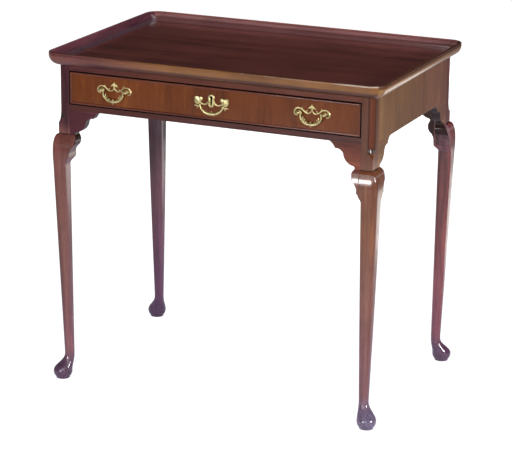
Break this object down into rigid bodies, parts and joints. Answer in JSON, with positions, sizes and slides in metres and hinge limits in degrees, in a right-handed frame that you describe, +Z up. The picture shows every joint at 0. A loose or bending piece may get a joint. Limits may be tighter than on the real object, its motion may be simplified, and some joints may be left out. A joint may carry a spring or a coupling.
{
  "type": "tray top tea table",
  "caption": "Rectangular tray top tea table with a moulded rim, a shallow frieze drawer with brass bail handles and keyhole plate, shaped brackets and cabriole legs on pad feet.",
  "frame": {"origin": "on the floor below the middle of the table", "axes": "+X along the drawer front to its right-hand end, +Y from the drawer to the back, +Z up"},
  "size_m": [0.739, 0.496, 0.71],
  "materials": {
    "mahogany": "glossy varnish, red-brown",
    "mahogany_top": "glossy varnish, dark red-brown",
    "mahogany_drawer": "glossy varnish, figured red-brown",
    "oak": "bare planed wood",
    "brass": "polished, pale gold",
    "iron": "dark, oiled"
  },
  "bodies": {
    "frame": {"top_board": "mahogany_top", "rim_front": "mahogany_top", "rim_right": "mahogany_top", "rim_back": "mahogany_top", "rim_left": "mahogany_top", "leg_front_left": "mahogany", "leg_front_right": "mahogany", "leg_back_left": "mahogany", "leg_back_right": "mahogany", "back_rail": "mahogany", "left_rail": "mahogany", "right_rail": "mahogany", "front_top_rail": "mahogany", "front_bottom_rail": "mahogany", "front_bracket_left": "mahogany", "front_bracket_right": "mahogany", "right_bracket_front": "mahogany", "right_bracket_back": "mahogany", "back_bracket_right": "mahogany", "back_bracket_left": "mahogany", "left_bracket_back": "mahogany", "left_bracket_front": "mahogany", "front_ear_left": "mahogany", "front_ear_right": "mahogany", "right_ear_front": "mahogany", "right_ear_back": "mahogany", "back_ear_right": "mahogany", "back_ear_left": "mahogany", "left_ear_back": "mahogany", "left_ear_front": "mahogany", "left_runner": "oak", "left_kicker": "oak", "left_guide": "oak", "right_runner": "oak", "right_kicker": "oak", "right_guide": "oak", "drawer_stops": "oak", "glue_blocks": "oak"},
    "drawer": {"drawer_front": "mahogany_drawer", "bead_top": "mahogany_drawer", "bead_bottom": "mahogany_drawer", "bead_left": "mahogany_drawer", "bead_right": "mahogany_drawer", "drawer_left_side": "oak", "drawer_right_side": "oak", "drawer_back": "oak", "drawer_bottom": "oak", "escutcheon": "brass", "escutcheon_pins": "brass", "handle_plate_left": "brass", "handle_plate_right": "brass", "handle_posts": "brass", "handle_nuts": "brass", "lock_case": "iron", "lock_screws": "iron"},
    "left_bail": {"bail_left": "brass"},
    "right_bail": {"bail_right": "brass"},
    "bolt": {"lock_bolt": "iron"}
  },
  "joints": [
    {"name": "drawer_slide", "type": "slide", "parent": "frame", "child": "drawer", "axis": [0, -1, 0], "range_m": [0, 0.3]},
    {"name": "left_bail_swing", "type": "hinge", "parent": "drawer", "child": "left_bail", "pos_m": [-0.218, -0.234, 0.64], "axis": [-1, 0, 0], "range_deg": [-8, 150]},
    {"name": "right_bail_swing", "type": "hinge", "parent": "drawer", "child": "right_bail", "pos_m": [0.218, -0.234, 0.64], "axis": [-1, 0, 0], "range_deg": [-8, 150]},
    {"name": "bolt_throw", "type": "slide", "parent": "drawer", "child": "bolt", "axis": [0, 0, 1], "range_m": [0, 0.006]}
  ]
}
